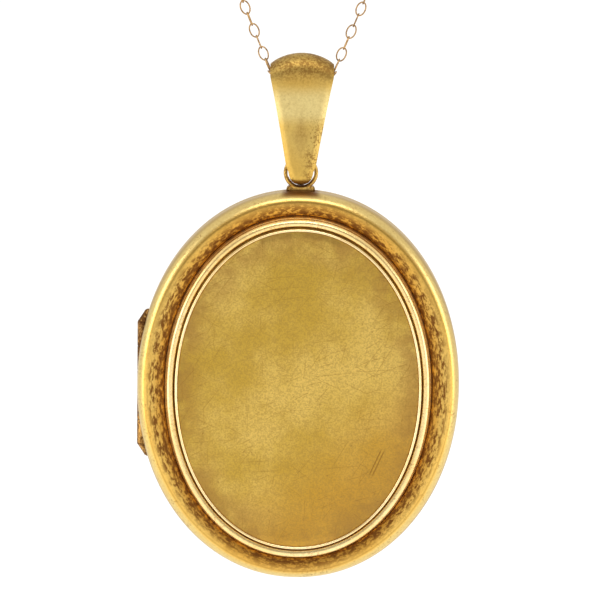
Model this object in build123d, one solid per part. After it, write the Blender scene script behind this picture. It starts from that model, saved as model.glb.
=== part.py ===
from build123d import *
import math
import os

# An oval gold locket on a fine trace chain. Millimetres, +Z up, the cover faces -Y.
# The origin is the hanging point: the line of the chain, in the middle of the top of the bail.

# ---- Driving dimensions ---------------------------------------------------------------------

# Case: two halves that meet at y = 0
case_half_width = 20.9
case_half_height = 25.5
case_drop = 40.44           # from the chain line down to the middle of the case
seam_gap = 0.04             # between the two closed halves

# Hollow half-round rim of each half
rim_depth = 2.95
rim_outer_round = 1.8
rim_inner_round = 0.85
rim_wall = 0.45
rim_side_width = 3.55       # from the outline in to the oval well, at the sides
rim_end_width = 2.95        # the same at the top and bottom
seam_ring_thickness = 0.4

# Raised middle of each half
moulding_crest_inset = 1.0  # how far the crest of the moulding stands in from the well
moulding_crest_depth = 4.1
moulding_side_width = 1.35  # from the well in to the flat bed that carries the panel and its wire
moulding_end_width = 1.45
bed_depth = 3.9
bed_thickness = 0.45
panel_inset = 0.55          # from the edge of the bed to the edge of the panel
panel_step = 0.4
lip_wire = 0.5

# Snap rim on the back half, and the picture settings
snap_wall = 0.4
snap_reach = 0.85
snap_clearance = 0.06
setting_headroom = 0.08     # between the snap rim and the cover's picture frame
back_setting_depth = 0.6    # from the seam to the face of the back's picture frame
frame_width = 2.6
frame_thickness = 0.75
frame_cover = 0.5           # how far the frame laps over the edge of the glass
glass_thickness = 0.4
card_thickness = 0.2
backing_thickness = 0.22

# Nail nick in the back half, opposite the hinge
nick_length = 6.0
nick_depth = 0.35

# Hinge on the left
barrel_radius = 0.85
barrel_length = 16.1
barrel_stand_out = 0.05     # beyond the outline of the case
hinge_relief = 1.35
pin_radius = 0.4
pin_clearance = 0.04
knuckle_count = 5
knuckle_gap = 0.06
tip_length = 1.7
tip_end_radius = 0.25
hinge_end_room = 0.15       # between the tips of the barrel and the relief in the rim
tab_share = 0.8             # thickness of a knuckle's tab over the radius of the barrel
tab_bite = 0.1              # how far a tab reaches past the relief before it is cut to the rim

# Suspension ring, soldered on top of the back half
ring_radius = 1.98
ring_wire = 0.5
foot_half_width = 1.9
foot_front = 0.7
foot_back = 1.1
foot_rise = 0.6
foot_root = 1.0             # how far the foot reaches down behind the top of the case
cover_headroom = 0.06       # between the ring and its overhanging foot, and the cover

# Bail: a folded strap, crowned across its top
bail_half_width = 3.95
bail_rise = 3.09            # from the chain line up to the crown
bail_crown = 1.9            # how much lower the sides are than the crown
bail_fold_radius = 2.15
bail_wall = 0.3
bail_neck_half_width = 1.91
bail_neck_above_ring = 1.01
tip_fold_radius = 1.3
tip_clearance = 0.19        # between the bail's tip and the inside of the ring
ring_slot_clearance = 0.06
ring_slot_share = 0.8       # half width of the ring's slot over the ring's radius

# Trace chain
chain_wire = 0.2
link_width = 1.4
link_pitch = 1.65
link_play = 0.02
links_per_strand = 9
strand_lean = 21.8          # degrees from upright
chain_exit = 4.03           # where each strand turns into the bail
end_ring_radius = 1.5
end_ring_wire = 0.5

# How far a cutting solid runs past the piece it cuts
cut_over = 1.0

# ---- Sizes that follow ----------------------------------------------------------------------

case_z = -case_drop
case_top = case_z + case_half_height
half_gap = seam_gap / 2
front_setting_depth = snap_reach + setting_headroom
moulding_foot_depth = front_setting_depth + frame_thickness + backing_thickness
ring_z = case_top + cover_headroom + ring_wire / 2 + ring_radius
ring_top_z = ring_z + ring_radius
hinge_x = -case_half_width - barrel_stand_out + barrel_radius
face = Plane(origin=(0, 0, case_z), x_dir=(1, 0, 0), z_dir=(0, -1, 0))


# ---- Helpers --------------------------------------------------------------------------------

def oval(half_width, half_height, start, end):
    """A solid oval across the cover half, from one depth to another in front of y = 0."""
    return extrude(face * Pos(0, 0, start) * Ellipse(half_width, half_height), end - start)


def oval_ring(outer, inner, start, end):
    """An oval ring between two pairs of half sizes."""
    return oval(*outer, start, end) - oval(*inner, start - cut_over, end + cut_over)


def grown(size, by):
    """A pair of half sizes, larger by a wall or a clearance."""
    return size[0] + by, size[1] + by


def at_depth(solid, depth):
    """The edges of a cover solid that lie flat at one depth, the shortest first."""
    near = [e for e in solid.edges() if abs(e.center().Y + depth) < 1e-4]
    return sorted(near, key=lambda e: e.length)


def to_back(solid):
    """The same piece in the back half."""
    return mirror(solid, about=Plane.XZ)


def tube_along_z(x, radius, low, high):
    """An upright round bar at y = 0."""
    return Pos(x, 0, (low + high) / 2) * Cylinder(radius, high - low)


def save(name, shape):
    export_step(shape, f"parts/{name}.step")


os.makedirs("parts", exist_ok=True)

outline = (case_half_width, case_half_height)
well = (case_half_width - rim_side_width, case_half_height - rim_end_width)
bed = (well[0] - moulding_side_width, well[1] - moulding_end_width)

hinge_half = barrel_length / 2 + tip_length + hinge_end_room
hinge_low = case_z - hinge_half
hinge_high = case_z + hinge_half
hinge_void = tube_along_z(hinge_x, hinge_relief, hinge_low, hinge_high)
hinge_wall = tube_along_z(hinge_x, hinge_relief + rim_wall, hinge_low - rim_wall, hinge_high + rim_wall)


# ---- Rims and seam rings --------------------------------------------------------------------

def rim_half():
    """Half-round hollow rim, open at the seam, with room for the hinge."""
    shell = oval_ring(outline, well, half_gap, rim_depth)
    inner_edge, outer_edge = at_depth(shell, rim_depth)
    shell = fillet(outer_edge, rim_outer_round)
    shell = fillet(at_depth(shell, rim_depth)[0], rim_inner_round)
    hollow = oval_ring(
        grown(outline, -rim_wall), grown(well, rim_wall), half_gap - cut_over, rim_depth - rim_wall
    )
    hollow = fillet(at_depth(hollow, rim_depth - rim_wall)[-1], rim_outer_round - rim_wall)
    hollow = fillet(at_depth(hollow, rim_depth - rim_wall)[0], rim_inner_round - rim_wall)
    return shell - hinge_void - (hollow - hinge_wall)


def seam_ring_half():
    """Flat ring let into the rim, which closes its hollow at the seam."""
    ring = oval_ring(
        grown(outline, -rim_wall), grown(well, rim_wall), half_gap, half_gap + seam_ring_thickness
    )
    return ring - hinge_wall


nick = Pos(case_half_width, half_gap, case_z) * Box(2 * nick_depth, 2 * nick_depth, nick_length)
front_rim = rim_half()
back_rim = to_back(rim_half()) - nick
front_seam_ring = seam_ring_half()
back_seam_ring = to_back(seam_ring_half())


# ---- Mouldings, panels and their wires ------------------------------------------------------

def moulding_half():
    """Sloping oval moulding that rises out of the well and frames the panel."""
    crest = grown(well, -moulding_crest_inset)
    slope = [(well, moulding_foot_depth), (well, rim_depth - rim_inner_round), (crest, moulding_crest_depth)]
    ovals = [face * Pos(0, 0, depth) * Ellipse(*size) for size, depth in slope]
    solid = loft(ovals[:2], ruled=True) + loft(ovals[1:], ruled=True)
    return solid - oval(*bed, moulding_foot_depth - cut_over, moulding_crest_depth + cut_over)


def panel_half():
    """One sheet inside the moulding: a flat bed with the oval panel pressed up out of it."""
    step = grown(bed, -panel_inset)
    sheet = oval(*bed, bed_depth - bed_thickness, bed_depth) + oval(*step, bed_depth, bed_depth + panel_step)
    inside = grown(step, -bed_thickness)
    pressed = oval(*inside, bed_depth - cut_over, bed_depth + panel_step - bed_thickness)
    return sheet - pressed


def lip_wire_half():
    """Round wire soldered on the bed, around the panel."""
    size = grown(bed, -panel_inset + lip_wire / 2)
    path = face * Pos(0, 0, bed_depth + lip_wire / 2) * Ellipse(*size)
    line = path.edges()[0]
    return sweep(Plane(origin=line @ 0, z_dir=line % 0) * Circle(lip_wire / 2), path=line)


front_moulding = moulding_half()
back_moulding = to_back(moulding_half())
front_plate = panel_half()
back_plate = to_back(panel_half())
front_lip_wire = lip_wire_half()
back_lip_wire = to_back(lip_wire_half())


# ---- Snap rim and picture settings ----------------------------------------------------------

snap_inside = grown(well, -snap_wall)
snap_root = oval_ring(well, snap_inside, half_gap, back_setting_depth + frame_thickness)
snap_lip = oval_ring(grown(well, -snap_clearance), snap_inside, -half_gap, snap_reach)
back_snap_rim = to_back(snap_root) + snap_lip


def picture_setting(outer, depth):
    """Frame, glass, blank card and backing that lie behind each other in one half."""
    sight = grown(outer, -frame_width)
    rebate = grown(sight, frame_cover)
    glass_start = depth + frame_thickness - glass_thickness - card_thickness
    card_start = glass_start + glass_thickness
    backing_start = card_start + card_thickness
    frame = oval_ring(outer, sight, depth, backing_start) - oval(*rebate, glass_start, backing_start + cut_over)
    glass = oval(*rebate, glass_start, card_start)
    card = oval(*rebate, card_start, backing_start)
    backing = oval(*outer, backing_start, backing_start + backing_thickness)
    return frame, glass, card, backing


front_setting = picture_setting(well, front_setting_depth)
back_setting = [to_back(piece) for piece in picture_setting(snap_inside, back_setting_depth)]


# ---- Hinge ----------------------------------------------------------------------------------

def knuckles(indices, toward, rim):
    """Barrel lengths on one half, each with the tab that joins it to the rim."""
    pitch = barrel_length / knuckle_count
    tab_thickness = tab_share * barrel_radius
    solids = []
    for i in indices:
        low = case_z - barrel_length / 2 + i * pitch + knuckle_gap / 2
        high = low + pitch - knuckle_gap
        middle = (low + high) / 2
        tab_y = toward * (seam_gap + tab_thickness / 2)
        tab = Pos(hinge_x + hinge_relief / 2, tab_y, middle) * Box(hinge_relief, tab_thickness, high - low)
        tab = tab & tube_along_z(hinge_x, hinge_relief + tab_bite, low, high)
        tube = tube_along_z(hinge_x, barrel_radius, low, high)
        bore = tube_along_z(hinge_x, pin_radius + pin_clearance, low - cut_over, high + cut_over)
        solids += (tube + tab - rim - bore).solids()
    return Compound(children=solids)


back_knuckles = knuckles(range(0, knuckle_count, 2), 1, back_rim)
front_knuckles = knuckles(range(1, knuckle_count, 2), -1, front_rim)
pin_half = barrel_length / 2 - knuckle_gap / 2
hinge_pin = tube_along_z(hinge_x, pin_radius, case_z - pin_half, case_z + pin_half)


def hinge_tip(upward):
    """Tapered end that closes the barrel."""
    cone = Pos(0, 0, tip_length / 2) * Cone(barrel_radius, tip_end_radius, tip_length)
    if upward < 0:
        cone = mirror(cone, about=Plane.XY)
    return Pos(hinge_x, 0, case_z + upward * pin_half) * cone


hinge_tips = Compound(children=[hinge_tip(1), hinge_tip(-1)])


# ---- Suspension ring and its foot -----------------------------------------------------------

upright = Plane(origin=(0, 0, ring_z), x_dir=(1, 0, 0), z_dir=(0, -1, 0))
suspension_ring = upright * Torus(ring_radius, ring_wire / 2)
foot_low = case_top - foot_root
overhang_low = case_top + cover_headroom
foot_top = case_top + foot_rise
foot_y = (foot_back - foot_front) / 2
overhang = Pos(0, foot_y, (overhang_low + foot_top) / 2) * Box(
    2 * foot_half_width, foot_back + foot_front, foot_top - overhang_low
)
root_depth = foot_back - half_gap
root = Pos(0, half_gap + root_depth / 2, (foot_low + foot_top) / 2) * Box(
    2 * foot_half_width, root_depth, foot_top - foot_low
)
ring_bed = upright * Cylinder(ring_radius, 4 * foot_back)
solid_back = to_back(oval(*outline, half_gap, rim_depth))
ring_foot = overhang + root - ring_bed - suspension_ring - solid_back


# ---- Bail -----------------------------------------------------------------------------------

crown_radius = (bail_half_width ** 2 + bail_crown ** 2) / (2 * bail_crown)
crown_z = bail_rise - crown_radius
tip_radius = ring_radius - ring_wire / 2 - tip_clearance
fold_bottom = ring_z - tip_radius


def fold_section(x, inset, low_z, low_radius):
    """Side view of the folded strap at one place across it: two rounds and their tangents."""
    top_radius = bail_fold_radius - inset
    top_z = crown_z + math.sqrt((crown_radius - inset) ** 2 - x ** 2) - top_radius
    lean = math.asin((top_radius - low_radius) / (top_z - low_z))
    out = math.cos(lean)
    up = -math.sin(lean)
    top_right = (top_radius * out, top_z + top_radius * up)
    low_right = (low_radius * out, low_z + low_radius * up)
    top_left = (-top_right[0], top_right[1])
    low_left = (-low_right[0], low_right[1])
    lines = Wire([
        ThreePointArc(top_right, (0, top_z + top_radius), top_left),
        Line(top_left, low_left),
        ThreePointArc(low_left, (0, low_z - low_radius), low_right),
        Line(low_right, top_right),
    ])
    side = Plane(origin=(x, 0, 0), x_dir=(0, 1, 0), z_dir=(1, 0, 0))
    return side * Face(lines)


def folded_bar(inset, low_z, low_radius):
    """The crowned solid that the strap wraps, a little wider than the strap."""
    reach = bail_half_width + bail_fold_radius / 10
    places = [reach * k / 3 for k in range(-3, 4)]
    return loft([fold_section(x, inset, low_z, low_radius) for x in places])


neck_z = ring_z + bail_neck_above_ring
front_view = Plane(origin=(0, 0, 0), x_dir=(1, 0, 0), z_dir=(0, -1, 0))
shoulder_z = bail_rise - bail_crown
blank_top = bail_rise + cut_over
blank = Polygon(
    (-bail_half_width, blank_top), (-bail_half_width, shoulder_z), (-bail_neck_half_width, neck_z),
    (-tip_radius, ring_z), (tip_radius, ring_z), (bail_neck_half_width, neck_z),
    (bail_half_width, shoulder_z), (bail_half_width, blank_top), align=None,
) + Pos(0, ring_z) * Circle(tip_radius)
strap_outline = extrude(front_view * blank, bail_fold_radius + cut_over, both=True)

slot_half = ring_slot_share * ring_radius
inside_low_radius = tip_fold_radius - bail_wall
inside_low_z = ring_top_z - ring_wire / 2 - ring_slot_clearance + inside_low_radius
solid_bar = folded_bar(0, fold_bottom + tip_fold_radius, tip_fold_radius)
inside = folded_bar(bail_wall, inside_low_z, inside_low_radius)


def ring_slot():
    """Room for the ring's upper half as the case swings on it, between the strap's two walls."""
    radius = ring_radius - ring_wire / 2 - ring_slot_clearance
    drop = -ring_radius
    end_z = drop + math.sqrt(radius ** 2 - slot_half ** 2)
    curve = ThreePointArc((-slot_half, end_z), (0, drop + radius), (slot_half, end_z))
    closing = Polyline((slot_half, end_z), (slot_half, 0), (-slot_half, 0), (-slot_half, end_z))
    lune = front_view * make_face(Wire([curve, *closing.edges()]))
    sweep_room = revolve(lune, axis=Axis.X, revolution_arc=360)
    between_walls = Box(4 * ring_radius, 2 * inside_low_radius, 4 * ring_radius)
    return Pos(0, 0, ring_top_z) * (sweep_room & between_walls)


tip_height = ring_top_z - ring_z + tip_radius
side_slots = Pos(0, 0, ring_top_z - tip_height / 2) * (
    Box(4 * ring_radius, 2 * inside_low_radius, tip_height)
    - Box(2 * slot_half, 4 * inside_low_radius, 2 * tip_height)
)
bail_strap = (solid_bar & strap_outline) - inside - ring_slot() - side_slots


# ---- Trace chain ----------------------------------------------------------------------------

def link():
    """One oval link, long along X and flat in the XY plane."""
    bend = (link_width - chain_wire) / 2
    half_straight = (link_pitch + link_play) / 2 + chain_wire / 2 - bend
    path = Wire([
        Line((-half_straight, bend), (half_straight, bend)),
        ThreePointArc((half_straight, bend), (half_straight + bend, 0), (half_straight, -bend)),
        Line((half_straight, -bend), (-half_straight, -bend)),
        ThreePointArc((-half_straight, -bend), (-half_straight - bend, 0), (-half_straight, bend)),
    ])
    start = Plane(origin=(-half_straight, bend, 0), z_dir=(1, 0, 0))
    return sweep(start * Circle(chain_wire / 2), path=path)


def chain_joints():
    """The points where links meet, from the end of the left strand to the end of the right."""
    lean = math.radians(strand_lean)
    rise = Vector(math.sin(lean), 0, math.cos(lean)) * link_pitch
    inner_x = 1.5 * link_pitch
    slope_x = chain_exit - inner_x
    inner_z = -math.sqrt(link_pitch ** 2 - slope_x ** 2)
    right = [Vector(inner_x, 0, inner_z)]
    right += [Vector(chain_exit, 0, 0) + rise * i for i in range(links_per_strand + 1)]
    half = [Vector(inner_x - link_pitch, 0, inner_z)] + right
    return [Vector(-p.X, p.Y, p.Z) for p in reversed(half)] + half


def placed_link(start, end, flat):
    """A link between two joints: flat to the front view, or turned a quarter round."""
    along = (end - start).normalized()
    normal = Vector(0, -1, 0) if flat else Vector(0, -1, 0).cross(along)
    middle = (start + end) * 0.5
    return Plane(origin=middle, x_dir=along, z_dir=normal) * link()


joints = chain_joints()
middle_link = len(joints) // 2 - 1
chain_links = Compound(children=[
    placed_link(joints[i], joints[i + 1], (i - middle_link) % 2 == 0) for i in range(len(joints) - 1)
])


def end_ring(side):
    """Soldered ring through the last link of one strand."""
    last, before = (joints[-1], joints[-2]) if side > 0 else (joints[0], joints[1])
    outward = (last - before).normalized()
    overlap = end_ring_wire / 2 + link_play / 2
    centre = last + outward * (end_ring_radius - overlap)
    flat = Plane(origin=centre, x_dir=(1, 0, 0), z_dir=(0, -1, 0))
    return flat * Torus(end_ring_radius, end_ring_wire / 2)


# ---- Export ---------------------------------------------------------------------------------

save("chain_links", chain_links)
save("chain_end_ring_left", end_ring(-1))
save("chain_end_ring_right", end_ring(1))
save("bail_strap", bail_strap)
save("suspension_ring", suspension_ring)
save("ring_foot", ring_foot)
save("front_rim", front_rim)
save("back_rim", back_rim)
save("front_seam_ring", front_seam_ring)
save("back_seam_ring", back_seam_ring)
save("front_moulding", front_moulding)
save("back_moulding", back_moulding)
save("front_plate", front_plate)
save("back_plate", back_plate)
save("front_lip_wire", front_lip_wire)
save("back_lip_wire", back_lip_wire)
save("back_snap_rim", back_snap_rim)
for half, setting in (("front", front_setting), ("back", back_setting)):
    for name, piece in zip(("photo_frame", "glass", "photo_card", "frame_backing"), setting):
        save(f"{half}_{name}", piece)
save("hinge_knuckles_front", front_knuckles)
save("hinge_knuckles_back", back_knuckles)
save("hinge_pin", hinge_pin)
save("hinge_tips", hinge_tips)
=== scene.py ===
import bmesh
import bpy
import math
from mathutils import Matrix, Vector


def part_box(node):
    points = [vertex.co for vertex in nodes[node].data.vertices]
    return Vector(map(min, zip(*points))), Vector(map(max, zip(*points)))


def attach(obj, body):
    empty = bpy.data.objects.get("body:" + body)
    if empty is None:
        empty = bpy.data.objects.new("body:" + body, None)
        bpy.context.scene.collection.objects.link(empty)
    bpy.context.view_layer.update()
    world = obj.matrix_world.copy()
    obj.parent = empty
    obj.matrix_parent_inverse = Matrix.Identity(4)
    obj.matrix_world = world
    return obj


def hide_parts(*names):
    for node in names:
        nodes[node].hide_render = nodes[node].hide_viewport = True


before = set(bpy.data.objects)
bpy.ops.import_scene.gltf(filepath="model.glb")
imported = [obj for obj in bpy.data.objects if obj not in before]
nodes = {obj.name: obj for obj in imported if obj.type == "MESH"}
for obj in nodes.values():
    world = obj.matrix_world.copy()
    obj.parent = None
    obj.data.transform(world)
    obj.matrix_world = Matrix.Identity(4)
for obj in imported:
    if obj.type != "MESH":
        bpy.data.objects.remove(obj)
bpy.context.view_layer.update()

# Everything is in metres, with +Z up and the cover towards -Y. The locket hangs from the origin.
MM = 0.001


# ---- Camera -----------------------------------------------------------------------------------
# A long lens a little above the locket, straight in front of the cover. It is rolled by less
# than a degree, because the locket hangs very slightly off plumb.

rim_low, rim_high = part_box("front_rim")
case_centre = Vector((0, 0, (rim_low.z + rim_high.z) / 2))
VIEW_DISTANCE = 450 * MM
VIEW_ELEVATION = math.radians(9.5)
VIEW_WIDTH = 77.8 * MM
view_aim = Vector((0.1 * MM, 0, case_centre.z + 11.13 * MM))

camera = bpy.data.objects.new("camera", bpy.data.cameras.new("camera"))
bpy.context.scene.collection.objects.link(camera)
bpy.context.scene.camera = camera
camera.data.sensor_width = 36
camera.data.lens = 36 * VIEW_DISTANCE / VIEW_WIDTH
camera.data.clip_start = 0.01
camera.data.clip_end = 50
toward_camera = Vector((0, -math.cos(VIEW_ELEVATION), math.sin(VIEW_ELEVATION)))
camera.location = view_aim + toward_camera * VIEW_DISTANCE
camera.rotation_mode = "QUATERNION"
roll = Matrix.Rotation(math.radians(0.75), 3, "Z").to_quaternion()
camera.rotation_quaternion = (-toward_camera).to_track_quat("-Z", "Y") @ roll


# ---- Studio -----------------------------------------------------------------------------------
# A white table well below the locket, a white surround that is darker in front, where the camera
# stands, and soft boxes at both sides and above.

def fill_inputs(tree, node, given):
    """Fills inputs of a node: each gets a value, a Field, an output, or a node's first output."""
    for slot, value in given.items():
        value = getattr(value, "socket", value)
        if isinstance(value, bpy.types.Node):
            value = value.outputs[0]
        if isinstance(value, bpy.types.NodeSocket):
            tree.links.new(value, node.inputs[slot])
        else:
            node.inputs[slot].default_value = value


def add_node(tree, kind, given=None, **settings):
    """A new node with its settings and its inputs."""
    node = tree.nodes.new(kind)
    for key, value in settings.items():
        setattr(node, key, value)
    fill_inputs(tree, node, given or {})
    return node


def math_node(tree, operation, *values):
    """The result of one Math node."""
    given = dict(enumerate(values))
    return Field(tree, add_node(tree, "ShaderNodeMath", given, operation=operation).outputs[0])


class Field:
    """A number that varies: a node's output, whose arithmetic adds Math nodes to its tree."""

    def __init__(self, tree, socket):
        self.tree, self.socket = tree, socket

    def op(self, operation, *values):
        return math_node(self.tree, operation, self, *values)

    def __add__(self, other):
        return self.op("ADD", other)

    def __sub__(self, other):
        return self.op("SUBTRACT", other)

    def __mul__(self, other):
        return self.op("MULTIPLY", other)

    def __abs__(self):
        return self.op("ABSOLUTE")

    def most(self, other):
        return self.op("MAXIMUM", other)

    def step(self, low, high, to_low=0.0, to_high=1.0):
        """A clamped smooth step from one range to another."""
        given = {"Value": self, "From Min": low, "From Max": high, "To Min": to_low, "To Max": to_high}
        node = add_node(self.tree, "ShaderNodeMapRange", given, interpolation_type="SMOOTHSTEP")
        return Field(self.tree, node.outputs["Result"])


def axes(tree, vector):
    """The X, Y and Z of a vector."""
    return [Field(tree, out) for out in add_node(tree, "ShaderNodeSeparateXYZ", {0: vector}).outputs]


def principled(name):
    """A new material, its tree and its shader."""
    material = bpy.data.materials.new(name)
    material.use_nodes = True
    return material, material.node_tree, material.node_tree.nodes["Principled BSDF"]


def new_object(name, data, material=None):
    """Links a mesh, a curve or a light as an object at the origin."""
    obj = bpy.data.objects.new(name, data)
    bpy.context.scene.collection.objects.link(obj)
    if material:
        data.materials.append(material)
    return obj


TABLE_HEIGHT = -150 * MM
TABLE_HALF = 8.0
table_paint, table_tree, table_shader = principled("table_white")
fill_inputs(table_tree, table_shader, {
    "Base Color": (0.93, 0.93, 0.93, 1), "Roughness": 0.9,
    "Emission Color": (1, 1, 1, 1), "Emission Strength": 0.2,
})
table_mesh = bpy.data.meshes.new("table")
around_table = ((-1, -1), (1, -1), (1, 1), (-1, 1))
corners = [(x * TABLE_HALF, y * TABLE_HALF, TABLE_HEIGHT) for x, y in around_table]
table_mesh.from_pydata(corners, [], [(0, 1, 2, 3)])
new_object("table", table_mesh, table_paint)

world = bpy.data.worlds.new("surround")
bpy.context.scene.world = world
world.use_nodes = True
surround = world.node_tree
direction = add_node(surround, "ShaderNodeTexCoord").outputs["Generated"]
behind = axes(surround, direction)[1]
fill_inputs(surround, surround.nodes["Background"], {
    "Color": (1.0, 0.995, 0.985, 1), "Strength": behind.step(-1.0, -0.25, 0.42, 1.02),
})


def soft_box(name, place, size, power):
    """A rectangular light that faces the middle of the case."""
    light = bpy.data.lights.new(name, "AREA")
    light.shape = "RECTANGLE"
    light.size, light.size_y = size
    light.energy = power
    obj = new_object(name, light)
    obj.location = place
    obj.rotation_mode = "QUATERNION"
    obj.rotation_quaternion = (case_centre - obj.location).to_track_quat("-Z", "Y")


soft_box("box_left", (-0.45, -0.16, 0.0), (0.18, 0.4), 0.7)
soft_box("box_right", (0.45, -0.16, 0.0), (0.18, 0.4), 0.6)
soft_box("box_top", (0.0, -0.30, 0.40), (0.4, 0.15), 1.0)

bpy.context.scene.view_settings.view_transform = "Standard"


# ---- Gold -------------------------------------------------------------------------------------
# Old yellow gold: warm metal, with brown tarnish that lies in patches and in sheltered places,
# where some pieces also get painted shade, a fine grain, and hairline scratches.

TARNISH_BLOBS = 420  # to the metre
BUMP_DISTANCE = 0.02 * MM
WARMER = (0.97, 0.88, 0.7)
DIRTIER = (0.55, 0.45, 0.35)
COLOUR_A, COLOUR_B, COLOUR_RESULT = 6, 7, 2  # the Mix node's sockets for colours


def vector_math(tree, operation, vector, other=(0, 0, 0), output="Vector"):
    """The result of one Vector Math node."""
    node = add_node(tree, "ShaderNodeVectorMath", {0: vector, 1: other}, operation=operation)
    return node.outputs[output]


def vector_length(tree, vector):
    """The length of a vector."""
    return Field(tree, vector_math(tree, "LENGTH", vector, output="Value"))


def object_point(tree, origin=(0, 0, 0), turn=(0, 0, 0), scale=(1, 1, 1)):
    """Object coordinates, moved so that origin is at zero, then turned and scaled."""
    coordinates = add_node(tree, "ShaderNodeTexCoord").outputs["Object"]
    moved = vector_math(tree, "SUBTRACT", coordinates, origin)
    return add_node(tree, "ShaderNodeMapping", {"Vector": moved, "Rotation": turn, "Scale": scale})


def noise(tree, point, per_metre, detail=4.0, roughness=0.55):
    """Noise with a given number of blobs to the metre."""
    given = {"Vector": point, "Scale": per_metre, "Detail": detail, "Roughness": roughness}
    return Field(tree, add_node(tree, "ShaderNodeTexNoise", given).outputs["Fac"])


def mix_colour(tree, amount, first, second):
    """Mixes two colours, each given as numbers or as another node's output."""
    first, second = ((*c, 1) if isinstance(c, tuple) else c for c in (first, second))
    given = {"Factor": amount, COLOUR_A: first, COLOUR_B: second}
    return add_node(tree, "ShaderNodeMix", given, data_type="RGBA").outputs[COLOUR_RESULT]


def shaded(colour, factors):
    """A colour times a factor for each channel."""
    return tuple(c * k for c, k in zip(colour, factors))


def scratches(tree, angle, along, across, width, share, seed):
    """Straight hairline scratches one way. Each cell of a long grid may hold one, at its own place."""
    cells = add_node(tree, "ShaderNodeMapping", {
        "Vector": object_point(tree, turn=(0, angle, 0)), "Scale": (1 / along, 0.0, 1 / across),
        "Location": (seed * 1.37, seed, seed * 0.71),
    })
    chance = add_node(tree, "ShaderNodeTexWhiteNoise", {"Vector": vector_math(tree, "FLOOR", cells)})
    place, luck, turn = axes(tree, chance.outputs["Color"])
    u, _, v = axes(tree, vector_math(tree, "FRACTION", cells))
    line = (u - 0.5) * ((turn - 0.5) * 0.7) + (place * 0.4 + 0.3)
    mark = abs(v - line).step(0.0, width / across, 1.0, 0.0)
    fade = (u * math_node(tree, "SUBTRACT", 1.0, u)).step(0.0, 0.12)
    return mark * fade * luck.op("LESS_THAN", share)


def finish_surface(tree, shader, colour, rough, height, metallic=1.0):
    """Colour, roughness and bump on a shader."""
    bump = add_node(tree, "ShaderNodeBump", {"Distance": BUMP_DISTANCE, "Height": height})
    fill_inputs(tree, shader, {
        "Base Color": colour, "Metallic": metallic, "Roughness": rough, "Normal": bump,
    })


def gold(name, clean, tarnish, rough, patches, sheltered_tarnish_and_shade=None, grain=0.35, scratch=0.25, zones=None):
    """Gold with tarnish where patches of noise rise above a level, and wherever
    sheltered_tarnish_and_shade says, which for some pieces is painted shade as well.
    """
    material, tree, shader = principled(name)
    point = object_point(tree)
    fine = noise(tree, point, 3300, 4.0, 0.7)
    mottle = noise(tree, point, TARNISH_BLOBS, 4.0, 0.6) * 0.6 + (fine - 0.3)
    low, high, most = patches
    mask = mottle.step(low, high, 0.0, most)
    # The extra mask darkens with the tarnish colour: tarnish in sheltered places, and painted shade on
    # some pieces.
    if sheltered_tarnish_and_shade:
        mask = mask.most(sheltered_tarnish_and_shade(tree, mottle))
    tone = noise(tree, point, TARNISH_BLOBS * 0.35, 2.0).step(0.3, 0.7)
    metal = mix_colour(tree, tone, clean, shaded(clean, WARMER))
    if zones:
        metal = zones(tree, metal)
    metal = mix_colour(tree, fine.step(0.35, 0.65, 0.0, 0.25), metal, shaded(clean, DIRTIER))
    specks = noise(tree, point, 9000, 2.0)
    marks = scratches(tree, 0.7, 3 * MM, 0.5 * MM, 0.03 * MM, 0.4, 1)
    marks = marks.most(scratches(tree, -0.5, 4 * MM, 0.6 * MM, 0.03 * MM, 0.4, 2))
    finish_surface(
        tree, shader, mix_colour(tree, mask, metal, tarnish),
        rough=specks * 0.12 + (mask * 0.22 + rough),
        height=specks * grain - marks * scratch - mask * 0.5,
    )
    return material


# ---- Chain ------------------------------------------------------------------------------------
# Fine trace chain of oval wire links, each turned a quarter round from the next. It comes down
# at both sides, turns in over the edges of the bail and runs through it.

CHAIN_WIRE = 0.19 * MM
LINK_LENGTH = 1.99 * MM
LINK_WIDTH = 1.34 * MM
LINK_COUNT = 24
CHAIN_EXIT = 3.9 * MM
STRAND_LENGTH = 13.97 * MM
STRAND_LEAN = math.radians(22.3)
strand_up = Vector((math.sin(STRAND_LEAN), 0, math.cos(STRAND_LEAN)))


def strand_point(distance):
    """A point on the right strand, so far up from where it leaves the bail."""
    return Vector((CHAIN_EXIT, 0, 0)) + strand_up * distance


right_half = [
    Vector((0.9, 0, -0.9)) * MM, Vector((2.7, 0, -0.9)) * MM, Vector((3.55, 0, -0.55)) * MM,
    strand_point(0.15 * MM), strand_point(0.9 * MM), strand_point(3.5 * MM),
    strand_point(8.5 * MM), strand_point(STRAND_LENGTH),
]
route = [Vector((-p.x, 0, p.z)) for p in reversed(right_half)] + right_half


def new_curve(name, kind, points):
    """A curve of one spline through or towards those points, and that spline."""
    data = bpy.data.curves.new(name, "CURVE")
    data.dimensions = "3D"
    data.resolution_u = 24
    spline = data.splines.new(kind)
    spline.points.add(len(points) - 1)
    for place, point in zip(spline.points, points):
        place.co = (*point, 1)
    return new_object(name, data), spline


def evaluated_mesh(obj):
    """The mesh that an object has with its modifiers."""
    bpy.context.view_layer.update()
    return bpy.data.meshes.new_from_object(obj.evaluated_get(bpy.context.evaluated_depsgraph_get()))


def geometry_tree(name, numbers):
    """A Geometry Nodes tree with named inputs for its sizes and its material, and those inputs."""
    tree = bpy.data.node_groups.new(name, "GeometryNodeTree")
    kinds = {"Geometry": "Geometry", **dict.fromkeys(numbers, "Float"), "Material": "Material"}
    for label, kind in kinds.items():
        tree.interface.new_socket(label, in_out="INPUT", socket_type=f"NodeSocket{kind}")
    tree.interface.new_socket("Geometry", in_out="OUTPUT", socket_type="NodeSocketGeometry")
    outputs = add_node(tree, "NodeGroupInput").outputs
    return tree, {label: Field(tree, outputs[label]) for label in kinds}


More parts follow.
